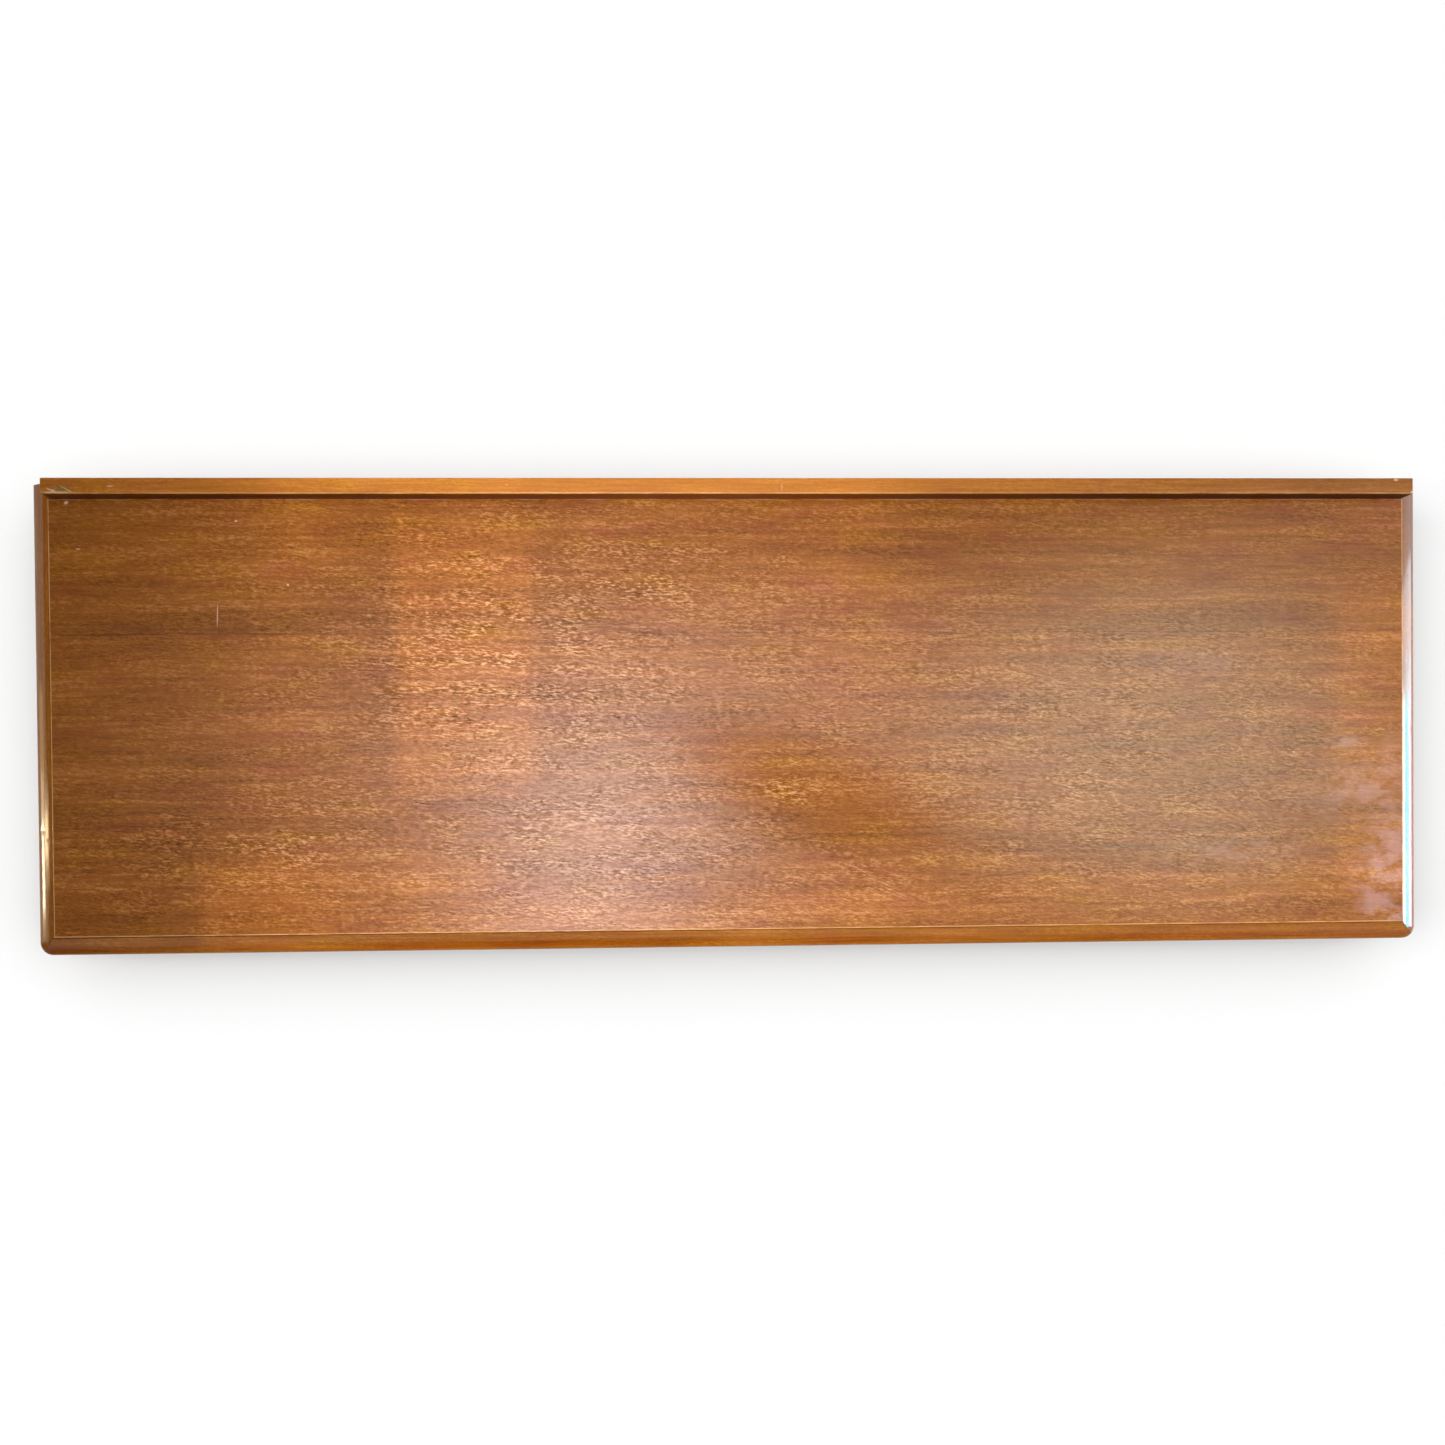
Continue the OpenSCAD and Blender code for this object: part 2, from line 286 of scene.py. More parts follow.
mahogany = {
    "seed": 0.0, "sway": 5 * mm, "swaySize": (120 * mm, 45 * mm, 45 * mm),
    "fleckSway": 3.5 * mm, "fleckSwaySize": (45 * mm, 22 * mm, 22 * mm),
    "figureSize": (340 * mm, 20 * mm, 30 * mm), "bandSize": (90 * mm, 7 * mm, 7 * mm),
    "streakSize": (60 * mm, 2.2 * mm, 2.2 * mm),
    "fleckSize": (4.3 * mm, 1.2 * mm, 1.2 * mm), "fineSize": (2.1 * mm, 0.8 * mm, 0.8 * mm),
    "poreSize": (11 * mm, 0.62 * mm, 0.62 * mm),
    "patchSize": (40 * mm, 12 * mm, 12 * mm), "patchLow": 0.55,
    "raySize": (16 * mm, 0.8 * mm, 0.8 * mm), "rayPatchSize": (90 * mm, 40 * mm, 40 * mm), "rayLean": 0.42,
    "fleckLean": 0.09,
    "hueSize": (50 * mm, 14 * mm, 14 * mm), "hueShift": 0.85, "hueDrift": 0.06,
    "tone": 0.455, "figure": 0.05, "bands": 0.055, "streaks": 0.06, "flecks": 0.155, "fines": 0.115,
    "sparks": 0.22, "rays": 0.20, "pores": 0.15,
    "dark": (0.070, 0.018, 0.003), "middle": (0.385, 0.124, 0.016), "pale": (0.82, 0.375, 0.125),
    "redder": (0.91, 0.78, 1.08), "yellower": (1.04, 1.12, 0.66),
    "grainDepth": 0.02 * mm, "lacquerDepth": 0.004 * mm, "roughness": 0.5, "underGloss": 0.03,
    "coat": 1.0, "coatRoughness": 0.09, "coatIor": 1.5,
}


def woodMaterial(name, along="x", **changes):
    look = dict(mahogany, **changes)
    made, tree = newMaterial(name)
    grain = grainPlace(tree, along, look)[0]
    shade, height = woodColours(tree, grain, look)[:2]
    finishMaterial(tree, lacquer(tree, shade, height, look))
    return made


veneerSheet = {
    "cell": 4 * mm,
    "edgeLines": [0, 0.08, 0.18, 0.3, 0.5, 0.8, 1.2, 2.0, 3.2],   # mm in from the worn edges
    "wear": 0.3 * mm,            # radius of the worn edge
    "wearChange": 0.14 * mm,
    "wearSize": 12 * mm,
    "swell": 0.10 * mm,          # long gentle waves in the sheet
    "swellSize": (160 * mm, 90 * mm),
    "ripple": 0.015 * mm,        # the core strips showing through
}


leaf = {
    # where the flecks are liveliest, partly the wood's figure and partly painted glint where the varnish
    # reflects light: place from the middle of the board, reach, turn and how much
    "fleckGlint": [
        {"at": (-0.165, 0.045), "reach": (0.085, 0.065), "turn": 0, "gain": 0.42},
        {"at": (-0.055, 0.092), "reach": (0.055, 0.022), "turn": 0, "gain": 0.42},
        {"at": (-0.11, -0.088), "reach": (0.11, 0.035), "turn": 0, "gain": 0.10},
        {"at": (0.030, -0.052), "reach": (0.022, 0.018), "turn": 0, "gain": 0.45},
        {"at": (-0.28, -0.085), "reach": (0.05, 0.03), "turn": 0, "gain": 0.3},
        {"at": (-0.365, -0.078), "reach": (0.045, 0.035), "turn": 0, "gain": 0.3},
        {"at": (0.30, 0.095), "reach": (0.19, 0.05), "turn": 0, "gain": -0.28},
        {"at": (-0.42, 0.02), "reach": (0.08, 0.13), "turn": 0, "gain": -0.22},
        {"at": (0.36, -0.02), "reach": (0.10, 0.08), "turn": 0, "gain": -0.15},
    ],
    # where thin pale flecks lie across the grain
    "slanting": [
        {"at": (0.10, -0.105), "reach": (0.19, 0.045), "turn": 0, "gain": 1.0},
        {"at": (0.215, -0.035), "reach": (0.05, 0.05), "turn": 0, "gain": 0.8},
        {"at": (0.12, 0.08), "reach": (0.10, 0.04), "turn": 0, "gain": 0.4},
    ],
    "calm": 0.74, "shine": 1.35, "thinnest": 0.12,
    "seam": 54.3 * mm, "seamWidth": 0.45 * mm, "seamStep": 0.10,
    # cloudy bloom in the varnish, mostly near the right end
    "bloom": [
        {"at": (0.416, -0.052), "reach": (0.034, 0.016), "turn": 8, "gain": 0.65},
        {"at": (0.441, -0.114), "reach": (0.019, 0.038), "turn": -8, "gain": 2.4},
        {"at": (0.437, -0.030), "reach": (0.010, 0.016), "turn": 0, "gain": 0.3},
        {"at": (0.4055, -0.0195), "reach": (0.010, 0.0035), "turn": 0, "gain": 0.8},
        {"at": (0.327, -0.0915), "reach": (0.045, 0.008), "turn": -2, "gain": 0.5},
        {"at": (0.300, 0.034), "reach": (0.030, 0.008), "turn": 0, "gain": 0.4},
    ],
    "bloomColour": (0.71, 0.45, 0.45), "bloomLevel": 0.34,
    # small knocks and a short scratch across the grain
    "marks": [
        {"at": (-0.3383, 0.0668), "reach": (0.0004, 0.0075), "turn": -2, "firm": 3, "gain": 0.5},
        {"at": (-0.4336, 0.1395), "reach": (0.0014, 0.0010), "turn": 30, "firm": 2, "gain": 0.9},
        {"at": (-0.4265, 0.1098), "reach": (0.0013, 0.0005), "turn": -10, "firm": 2, "gain": 0.6},
        {"at": (-0.3256, 0.1277), "reach": (0.0009, 0.0007), "turn": 0, "firm": 2, "gain": 0.7},
        {"at": (-0.2929, 0.0864), "reach": (0.0008, 0.0007), "turn": 0, "firm": 2, "gain": 0.7},
        {"at": (0.371, -0.0265), "reach": (0.0008, 0.0006), "turn": 0, "firm": 2, "gain": 0.6},
    ],
    # the worn edge colour is partly worn wood and partly a painted highlight on the rounded arris
    "markColour": (0.95, 0.62, 0.36), "wornAndHighlightColour": (0.80, 0.42, 0.16), "waxColour": (0.46, 0.27, 0.20),
}


def veneerMaterial():
    # the pale flecks shine more than the dark ones, so the varnish weight follows them
    look = dict(mahogany, coat=0.46, coatIor=1.85)
    made, tree = newMaterial("faceVeneer")
    grain, turned, parts = grainPlace(tree, "x", look)
    fleckGlint = softPatches(tree, parts, leaf["fleckGlint"], leaf["calm"])
    slanting = softPatches(tree, parts, leaf["slanting"])
    shade, height, detail = woodColours(tree, grain, look, fleckGlint, slanting)
    # the two leaves of the sheet meet on a faint line, and the back leaf is a little deeper
    seamY = gather(tree, parts[1], (cloud(tree, turned, (0.2, 0.2, 0.2), 1.0, 0.5, 3.0), 3 * mm))
    seamY = minus(tree, seamY, leaf["seam"] + 1.5 * mm)
    backLeaf = ease(tree, seamY, -0.3 * mm, 0.3 * mm, 0.0, leaf["seamStep"])
    fadeBack = ease(tree, seamY, 5 * mm, 40 * mm, 1.0, 0.3)
    shade = blend(tree, times(tree, backLeaf, fadeBack), shade, (0, 0, 0, 1))
    line = between(tree, seamY, -leaf["seamWidth"], leaf["seamWidth"], 0.3 * mm)
    broken = cloud(tree, turned, (30 * mm, 9 * mm, 9 * mm), 2.0, 0.6, 12.0)
    broken = ease(tree, broken, 0.42, 0.60, 0.0, 0.45)
    shade = blend(tree, times(tree, line, broken), shade, colour(look["dark"]))
    # cloudy bloom, broken up into blotches
    blotch = cloud(tree, parts[3], (16 * mm, 9 * mm, 9 * mm), 3.0, 0.6, 21.0)
    blotch = ease(tree, blotch, 0.36, 0.60, 0.1, 1.0)
    bloom = softPatches(tree, parts, leaf["bloom"])
    bloom = times(tree, calc(tree, "MINIMUM", bloom, 1.0), blotch)
    bloom = times(tree, bloom, leaf["bloomLevel"])
    shade = blend(tree, bloom, shade, colour(leaf["bloomColour"]))
    shade = marked(tree, parts, shade, leaf["marks"], leaf["markColour"])
    # old wax in a broken line at the foot of the rail
    footY = minus(tree, railLow.y, parts[1])
    wax = between(tree, footY, 0.3 * mm, 0.8 * mm, 0.2 * mm)
    waxBreaks = cloud(tree, parts[3], (16 * mm, 9 * mm, 9 * mm), 3.0, 0.7, 33.0)
    wax = times(tree, wax, ease(tree, waxBreaks, 0.44, 0.60, 0.1, 0.75))
    shade = blend(tree, wax, shade, colour(leaf["waxColour"]))
    # pale line along the three moulded edges: partly worn wood, partly a painted highlight on the rounded
    # arris
    edgeX = minus(tree, faceHigh.x, calc(tree, "ABSOLUTE", parts[0]))
    edgeY = minus(tree, parts[1], faceLow.y)
    edge = calc(tree, "MINIMUM", edgeX, edgeY)
    wornAndHighlightBreaks = cloud(tree, parts[3], (22 * mm, 22 * mm, 22 * mm), 3.0, 0.7, 14.0)
    wornAndHighlightBreaks = ease(tree, wornAndHighlightBreaks, 0.34, 0.52, 0.45, 1.0)
    wornAndHighlight = times(tree, ease(tree, edge, 0.35 * mm, 1.0 * mm, 0.9, 0.0), wornAndHighlightBreaks)
    shade = blend(tree, wornAndHighlight, shade, colour(leaf["wornAndHighlightColour"]))
    coat = gather(tree, look["coat"], (detail, leaf["shine"]))
    coat = addNode(tree, "Clamp", {0: coat, 1: leaf["thinnest"], 2: 1.0}).outputs[0]
    finishMaterial(tree, lacquer(tree, shade, height, look, coat))
    return made


def gridLines(low, high, cell, edgeLines, wornLow, wornHigh):
    inner = [v * mm for v in edgeLines]
    lines = {round(low, 6), round(high, 6)}
    start, end = low, high
    if wornLow:
        lines.update(round(low + v, 6) for v in inner)
        start = low + inner[-1]
    if wornHigh:
        lines.update(round(high - v, 6) for v in inner)
        end = high - inner[-1]
    count = max(1, round((end - start) / cell))
    lines.update(round(start + (end - start) * i / count, 6) for i in range(count + 1))
    return sorted(lines)


def makeVeneer(material):
    spec = veneerSheet
    xs = gridLines(faceLow.x, faceHigh.x, spec["cell"], spec["edgeLines"], True, True)
    ys = gridLines(faceLow.y, faceHigh.y, spec["cell"], spec["edgeLines"], True, False)
    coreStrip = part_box("core_strip_2")
    pitch = coreStrip[1].y - coreStrip[0].y
    points, faces = [], []
    for x in xs:
        for y in ys:
            swell = noise.noise(Vector((x / spec["swellSize"][0], y / spec["swellSize"][1], 0.3)))
            ripple = 0.5 - 0.5 * math.cos(2 * math.pi * (y - coreStrip[0].y) / pitch)
            drop = spec["swell"] * (0.5 + 0.5 * swell) + spec["ripple"] * ripple
            edge = min(faceHigh.x - x, x - faceLow.x, y - faceLow.y)
            uneven = noise.noise(Vector((x / spec["wearSize"], y / spec["wearSize"], 5.0)))
            reach = spec["wear"] + spec["wearChange"] * uneven
            if edge < reach:
                drop += reach - math.sqrt(max(0.0, reach * reach - (reach - edge) ** 2))
            points.append((x, y, faceTop - drop))
    across, rows = len(ys), len(xs)
    for x in xs:
        for y in ys:
            points.append((x, y, faceLow.z))
    under = across * rows
    for i in range(rows - 1):
        for j in range(across - 1):
            a = i * across + j
            faces.append((a, a + across, a + across + 1, a + 1))
            faces.append((under + a, under + a + 1, under + a + across + 1, under + a + across))
    rim = [i * across for i in range(rows)]
    rim += [(rows - 1) * across + j for j in range(1, across)]
    rim += [i * across + across - 1 for i in range(rows - 2, -1, -1)]
    rim += list(range(across - 2, 0, -1))
    for a, b in zip(rim, rim[1:] + rim[:1]):
        faces.append((a, under + a, under + b, b))
    return meshObject("faceVeneerSheet", points, faces, material)


moulding = {
    "width": 12 * mm, "lip": 18 * mm, "step": 0.4 * mm, "drop": 4.6 * mm,
    "lead": math.radians(8), "arris": 2 * mm, "corner": 8.5 * mm,
    "softBottom": 1.2 * mm, "rowGap": 1.5 * mm, "quirk": 0.35 * mm,
    "wave": 0.06 * mm, "waveSize": 20 * mm,
    "dentDepth": (0.05 * mm, 0.2 * mm), "dentReach": (0.8 * mm, 2.2 * mm),
}


edgeWood = {
    # closer and smoother than the face, under a thicker varnish
    "figureSize": (260 * mm, 14 * mm, 14 * mm), "streakSize": (55 * mm, 1.5 * mm, 1.5 * mm),
    "streaks": 0.08, "flecks": 0.05, "fines": 0.05, "sparks": 0.03, "rays": 0.0, "pores": 0.08, "bands": 0.06,
    "dark": (0.10, 0.028, 0.004), "middle": (0.40, 0.132, 0.014), "pale": (0.74, 0.33, 0.08),
    "grainDepth": 0.008 * mm, "lacquerDepth": 0.002 * mm, "coatRoughness": 0.08,
}
edgeWear = {
    # the dark colour in the quirk is partly dirt and partly painted shade in the crease
    "dirtAndShade": (0.10, 0.035, 0.008), "dirtAndShadeWidth": 0.9 * mm, "mitreWidth": 0.35 * mm,
    # the last colour here darkens the bottom of the outer face
    "pooled": (0.86, 0.66, 0.25), "lowDarkening": (0.12, 0.05, 0.02),
    "deep": {"at": (-0.19, -0.15), "reach": (0.16, 1.0), "turn": 0, "firm": 2},
    "deepColour": (0.74, 0.72, 0.60),
}


def mouldingMaterial(name, side, seed):
    look = dict(mahogany, **edgeWood)
    look["seed"] = seed
    wear = edgeWear
    made, tree = newMaterial(name)
    grain, turned, parts = grainPlace(tree, "x" if side == "front" else "y", look)
    shade, height = woodColours(tree, grain, look)[:2]
    inX = minus(tree, backHigh.x, calc(tree, "ABSOLUTE", parts[0]))
    inY = minus(tree, parts[1], backLow.y)
    inward = inY if side == "front" else inX
    # varnish pooled on the steep part
    pooled = between(tree, inward, 2.0 * mm, 6.0 * mm, 1.2 * mm)
    pooledDrift = cloud(tree, turned, (120 * mm, 60 * mm, 60 * mm), 2.0, 0.5, seed + 20.0)
    pooledDrift = ease(tree, pooledDrift, 0.38, 0.6, 0.3, 1.0)
    shade = blend(tree, times(tree, pooled, pooledDrift), shade, colour(wear["pooled"]), "MULTIPLY")
    if side == "front":
        # the front strip is deeper in colour left of the middle
        deep = softPatch(tree, parts[0], parts[1], wear["deep"])
        deep = times(tree, deep, ease(tree, inward, 3 * mm, 7 * mm))
        shade = blend(tree, deep, shade, colour(wear["deepColour"]), "MULTIPLY")
    else:
        # painted shade: the right strip is darker towards the back
        paintedBackShade = ease(tree, parts[1], 60 * mm, 140 * mm, 0.0, 0.45)
        dark = times(tree, paintedBackShade, ease(tree, parts[0], -100 * mm, 100 * mm))
        shade = blend(tree, dark, shade, colour(look["dark"]))
    # dark line in the quirk, partly dirt and partly painted shade in the crease, heavier towards the left;
    # and dark lines in the mitres
    fromQuirk = minus(tree, moulding["width"], inward)
    dirtAndShade = ease(tree, fromQuirk, 0.45 * wear["dirtAndShadeWidth"], 1.3 * wear["dirtAndShadeWidth"], 1.0, 0.0)
    dirtAndShadeBreaks = cloud(tree, turned, (18 * mm, 8 * mm, 8 * mm), 3.0, 0.7, seed + 21.0)
    dirtAndShadeBreaks = ease(tree, dirtAndShadeBreaks, 0.36, 0.58, 0.35, 1.0)
    leftward = ease(tree, parts[0], -0.30, 0.10, 0.85, 0.35)
    dirtAndShade = times(tree, times(tree, dirtAndShade, dirtAndShadeBreaks), leftward)
    mitre = calc(tree, "ABSOLUTE", minus(tree, inX, inY))
    mitre = ease(tree, mitre, 0.2 * wear["mitreWidth"], wear["mitreWidth"], 0.65, 0.0)
    shade = blend(tree, calc(tree, "MAXIMUM", dirtAndShade, mitre), shade, colour(wear["dirtAndShade"]))
    # darker towards the bottom of the outer face
    lowDarkening = ease(tree, parts[2], faceTop - 9 * mm, faceTop - 5 * mm, 0.55, 0.0)
    shade = blend(tree, lowDarkening, shade, colour(wear["lowDarkening"]))
    finishMaterial(tree, lacquer(tree, shade, height, look))
    return made


def mouldingSection():
    # closed outline: distance in from the outer face, and height
    spec = moulding
    top, bottom = frontHigh.z, frontLow.z
    stepFoot = top - spec["step"]
    chord = math.hypot(spec["width"], spec["drop"])
    slope = math.atan2(spec["drop"], spec["width"])
    big = chord / (2 * math.sin(slope - spec["lead"]))
    centre = (spec["width"] + big * math.sin(spec["lead"]), stepFoot - big * math.cos(spec["lead"]))
    small = spec["arris"]
    smallCentre = (small, centre[1] + math.sqrt((big - small) ** 2 - (centre[0] - small) ** 2))
    join = math.atan2(smallCentre[1] - centre[1], smallCentre[0] - centre[0])
    begin = math.atan2(stepFoot - centre[1], spec["width"] - centre[0])
    outline = [(spec["lip"], top), (spec["width"] + 1.0 * mm, top), (spec["width"] + 0.15 * mm, top),
               (spec["width"], top - 0.15 * mm), (spec["width"], stepFoot),
               (spec["width"], stepFoot - spec["quirk"]),
               (spec["width"] - 0.3 * mm, stepFoot - 1.1 * spec["quirk"])]
    for i in range(1, 19):
        turn = begin + (join - begin) * i / 18
        outline.append((centre[0] + big * math.cos(turn), centre[1] + big * math.sin(turn)))
    for i in range(1, 9):
        turn = join + (math.pi - join) * i / 8
        outline.append((smallCentre[0] + small * math.cos(turn), smallCentre[1] + small * math.sin(turn)))
    low = bottom + spec["softBottom"]
    for i in range(1, 5):
        outline.append((0.0, smallCentre[1] + (low - smallCentre[1]) * i / 5))
    for i in range(5):
        turn = math.pi + math.pi / 2 * i / 4
        soft = spec["softBottom"]
        outline.append((soft * (1 + math.cos(turn)), low + soft * math.sin(turn)))
    outline += [(spec["lip"] / 2, bottom), (spec["lip"], bottom), (spec["lip"], (bottom + top) / 2)]
    return outline


def roundCorner(x, y, cornerX, cornerY, signX):
    # pulls the square front corner in to its radius, keeping the inner corner where it is
    spec = moulding
    innerX, innerY = cornerX - signX * spec["width"], cornerY + spec["width"]
    dx, dy = (x - innerX) * signX, innerY - y
    if dx <= 0 or dy <= 0:
        return x, y
    reach = math.hypot(dx, dy)
    edge = spec["width"] / max(dx, dy) * reach
    cx = spec["width"] - spec["corner"]
    ux, uy = dx / reach, dy / reach
    along = ux * cx + uy * cx
    out = along + math.sqrt(max(0.0, along * along - 2 * cx * cx + spec["corner"] ** 2))
    px, py = ux * out, uy * out
    if px < cx or py < cx:
        out = edge
    share = reach / edge
    new = reach * (1 - (1 - min(1.0, out / edge)) * share ** 1.5)
    return innerX + signX * ux * new, innerY - uy * new


def makeMoulding(name, side, material, dents):
    spec = moulding
    outline = mouldingSection()
    corners = [(backLow.x, -1), (backHigh.x, 1)]
    length = (backHigh.x - backLow.x) if side == "front" else (backHigh.y - backLow.y)
    nearEnd = [0, 0.1, 0.3, 0.7, 1.2, 2, 3, 4, 5, 6, 7, 8, 9, 10, 11, 12, 13.5]
    rows = [v * mm / length for v in nearEnd]
    count = round((1 - 2 * rows[-1]) * length / spec["rowGap"])
    middle = [rows[-1] + (1 - 2 * rows[-1]) * i / count for i in range(1, count)]
    rows = rows + middle + [1 - v for v in reversed(rows)]
    points, faces = [], []
    for along in rows:
        for inward, height in outline:
            if side == "front":
                x = backLow.x + inward + along * (length - 2 * inward)
                y = backLow.y + inward
                normal = Vector((0, -1, 0))
            else:
                signX = -1 if side == "left" else 1
                x = (backLow.x + inward) if side == "left" else (backHigh.x - inward)
                y = backLow.y + inward + along * (length - inward)
                normal = Vector((signX, 0, 0))
            for cornerX, signX in corners:
                x, y = roundCorner(x, y, cornerX, backLow.y, signX)
            place = Vector((x, y, height))
            if height > frontLow.z + 2 * mm and inward < spec["width"]:
                share = inward / spec["width"]
                out = (normal * (1 - share) + Vector((0, 0, 0.6 + share))).normalized()
                wave = spec["wave"] * (0.5 + 0.5 * noise.noise(place / spec["waveSize"]))
                for dentPlace, depth, reach in dents:
                    wave += depth * math.exp(-((place - dentPlace).length / reach) ** 2)
                place -= out * wave
            points.append(place)
    size, total = len(outline), len(rows)
    for i in range(total - 1):
        for j in range(size):
            a, b = i * size + j, i * size + (j + 1) % size
            faces.append((a, b, b + size, a + size))
    faces.append(tuple(range(size - 1, -1, -1)))
    faces.append(tuple((total - 1) * size + j for j in range(size)))
    made = meshObject(name, points, faces, material)
    if side == "left":
        made.data.flip_normals()
    return made


def edgeDents(seed, count, side):
    dice = random.Random(seed)
    dents = []
    for _ in range(count):
        height = faceTop - dice.uniform(1.5, 6.5) * mm
        inward = max(0.0, 11 * mm - (faceTop - height) * 1.7)
        share = dice.uniform(0.04, 0.96)
        if side == "front":
            place = Vector((backLow.x + share * (backHigh.x - backLow.x), backLow.y + inward, height))
        else:
            x = backLow.x + inward if side == "left" else backHigh.x - inward
            place = Vector((x, backLow.y + share * (backHigh.y - backLow.y), height))
        depth = dice.uniform(*moulding["dentDepth"])
        dents.append((place, depth, dice.uniform(*moulding["dentReach"])))
    return dents


rail = {
    "arris": 1.0 * mm, "rowGap": 2 * mm, "endSoft": 0.5 * mm, "wave": 0.05 * mm, "waveSize": 30 * mm,
    # the paler middle of the rail is a painted pool of light
    "paintedLightPool": {"at": (-0.03, 0.147), "reach": (0.22, 1.0), "turn": 0}, "paintedLightPoolColour": (1.0, 0.37, 0.07),
    # the broken arris: place along and back from the left front corner, reach, depth
    "chip": (13.0 * mm, 2.8 * mm), "chipReach": (6.5 * mm, 2.0 * mm), "chipDepth": 0.9 * mm,
    "ragged": 0.35, "raggedSize": (2.2 * mm, 1.5 * mm), "chipHollow": (0.30, 0.17, 0.035),
    # pale splintered wood along the arris and across the hollow
    "splinters": [
        {"at": (-0.4345, 0.1430), "reach": (0.0085, 0.0006), "turn": 0, "firm": 2, "gain": 0.9},
        {"at": (-0.4375, 0.1443), "reach": (0.0038, 0.0005), "turn": -22, "firm": 2, "gain": 0.9},
        {"at": (-0.4285, 0.1450), "reach": (0.0042, 0.0004), "turn": -28, "firm": 2, "gain": 0.6},
    ],
    "splinterColour": (0.90, 0.62, 0.27),
    # stain: the dark front face, partly stain and partly painted shade; worn: the pale front arris, partly
    # rubbed wood and partly a painted highlight
    "stainAndShade": (0.34, 0.27, 0.22), "wornAndHighlight": (0.90, 0.50, 0.18), "markColour": (1.0, 0.66, 0.42),
    "marks": [
        {"at": (-0.401, 0.1468), "reach": (0.0022, 0.0005), "turn": 4, "firm": 2, "gain": 0.5},
        {"at": (0.0274, 0.1464), "reach": (0.0004, 0.0022), "turn": 3, "firm": 2, "gain": 0.35},
        {"at": (-0.150, 0.1478), "reach": (0.0008, 0.0005), "turn": 0, "firm": 2, "gain": 0.4},
        {"at": (0.4334, 0.1512), "reach": (0.0014, 0.0009), "turn": 0, "firm": 2, "gain": 0.7},
        {"at": (0.4440, 0.1430), "reach": (0.0007, 0.0007), "turn": 0, "firm": 2, "gain": 1.0},
    ],
}


def chipShape(x, y):
    # how far out from the middle of the broken arris a place is, 1 at its rim
    u = (x - railLow.x - rail["chip"][0]) / rail["chipReach"][0]
    v = (y - railLow.y - rail["chip"][1]) / rail["chipReach"][1]
    return math.hypot(u, v)


def railMaterial():
    look = dict(mahogany, **edgeWood)
    look.update(seed=23.0, tone=0.54, middle=(0.48, 0.160, 0.020), pale=(0.88, 0.39, 0.08))
    made, tree = newMaterial("backRail")
    grain, turned, parts = grainPlace(tree, "x", look)
    shade, height = woodColours(tree, grain, look)[:2]
    # painted light: the top is painted paler in the middle, as under a pool of light, and darker towards the
    # right end, where the light falls off
    middle = softPatch(tree, parts[0], parts[1], rail["paintedLightPool"])
    shade = blend(tree, times(tree, middle, 0.34), shade, colour(rail["paintedLightPoolColour"]))
    shade = blend(tree, ease(tree, parts[0], 50 * mm, 440 * mm, 0.0, 0.32), shade, colour(look["dark"]))
    # dark front face, browner than the top: partly stain, partly painted shade on the face turned away from
    # the light
    shadedFace = ease(tree, parts[1], railLow.y + 0.25 * mm, railLow.y + 0.8 * mm, 1.0, 0.0)
    shadedFace = times(tree, shadedFace, ease(tree, parts[0], railLow.x - 1 * mm, railLow.x + 3 * mm))
    below = ease(tree, parts[2], railHigh.z - 0.9 * mm, railHigh.z - 0.4 * mm, 1.0, 0.0)
    shadedFace = times(tree, shadedFace, below)
    # the front face is painted less dark under the painted pool of light
    shadedFace = times(tree, shadedFace, minus(tree, 1.0, times(tree, middle, 0.45)))
    shade = blend(tree, shadedFace, shade, colour(rail["stainAndShade"]), "MULTIPLY")
    # the front arris is painted pale, with breaks: partly rubbed wood, partly a painted highlight on the
    # arris
    rubbedAndHighlight = between(tree, parts[1], railLow.y + 0.1 * mm, railLow.y + 0.8 * mm, 0.2 * mm)
    above = ease(tree, parts[2], railHigh.z - 1.0 * mm, railHigh.z - 0.5 * mm)
    rubbedAndHighlight = times(tree, rubbedAndHighlight, above)
    breaks = cloud(tree, turned, (35 * mm, 9 * mm, 9 * mm), 3.0, 0.7, 40.0)
    breaks = gather(tree, ease(tree, breaks, 0.38, 0.62, 0.05, 0.5), (middle, 0.3))
    shade = blend(tree, times(tree, rubbedAndHighlight, breaks), shade, colour(rail["wornAndHighlight"]))
    shade = marked(tree, parts, shade, rail["marks"], rail["markColour"])
    # bare wood in the chip: dirty in the hollow, pale where it splintered
    wander = cloud(tree, parts[3], (2.2 * mm, 1.4 * mm, 1.4 * mm), 2.0, 0.6, 50.0)
    wander = minus(tree, wander, 0.5)
    u = minus(tree, parts[0], railLow.x + rail["chip"][0])
    u = calc(tree, "DIVIDE", u, rail["chipReach"][0])
    v = minus(tree, parts[1], railLow.y + rail["chip"][1])
    v = calc(tree, "DIVIDE", v, rail["chipReach"][1])
    away = calc(tree, "SQRT", gather(tree, times(tree, u, u), (v, v)))
    away = gather(tree, away, (wander, 0.7))
    shade = blend(tree, ease(tree, away, 0.75, 1.0, 0.8, 0.0), shade, colour(rail["chipHollow"]))
    for spec in rail["splinters"]:
        ragged = gather(tree, parts[1], (wander, 1.2 * mm))
        splinter = times(tree, softPatch(tree, parts[0], ragged, spec), spec["gain"])
        shade = blend(tree, splinter, shade, colour(rail["splinterColour"]))
    # hardly any varnish is left on the front face
    coat = gather(tree, look["coat"], (shadedFace, -0.8))
    finishMaterial(tree, lacquer(tree, shade, height, look, coat))
    return made


